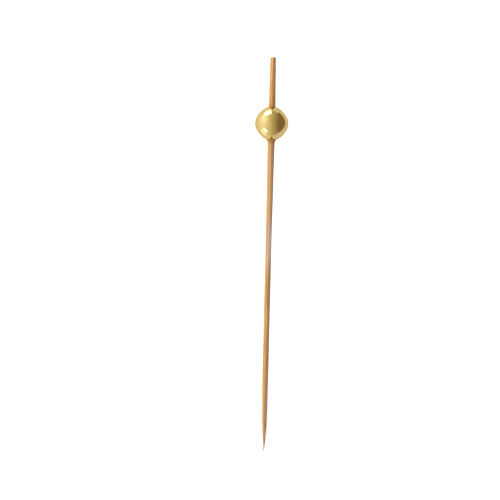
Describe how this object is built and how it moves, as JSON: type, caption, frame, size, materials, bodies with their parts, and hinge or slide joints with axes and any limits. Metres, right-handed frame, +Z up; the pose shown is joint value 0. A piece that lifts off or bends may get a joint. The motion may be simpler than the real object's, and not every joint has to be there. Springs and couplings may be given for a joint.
{
  "type": "cocktail pick",
  "caption": "Slim bamboo pick with a whittled point and a round mirror-gold bead near its head, for spearing garnishes and small bites.",
  "frame": {"origin": "On the table, under the middle of the pick's whole length as it lies at rest on its bead and on the shoulder of its point.", "axes": "+X along the table from the cut head towards the point, +Y across the pick, +Z up. The stick leans 2.7 degrees down towards its point."},
  "size_m": [0.12, 0.0102, 0.0101],
  "materials": {
    "bamboo": "dry, sanded bamboo, carbonised to a warm tan, with fine fibres along the stick",
    "gold_plating": "moulded plastic with a bright vacuum-plated pale gold skin that mirrors its surroundings",
    "dried_glue": "clear adhesive, dried to a smooth amber meniscus"
  },
  "bodies": {
    "root": {"bamboo_stick": "bamboo", "gold_bead": "gold_plating", "glue_ring": "dried_glue"}
  },
  "joints": []
}
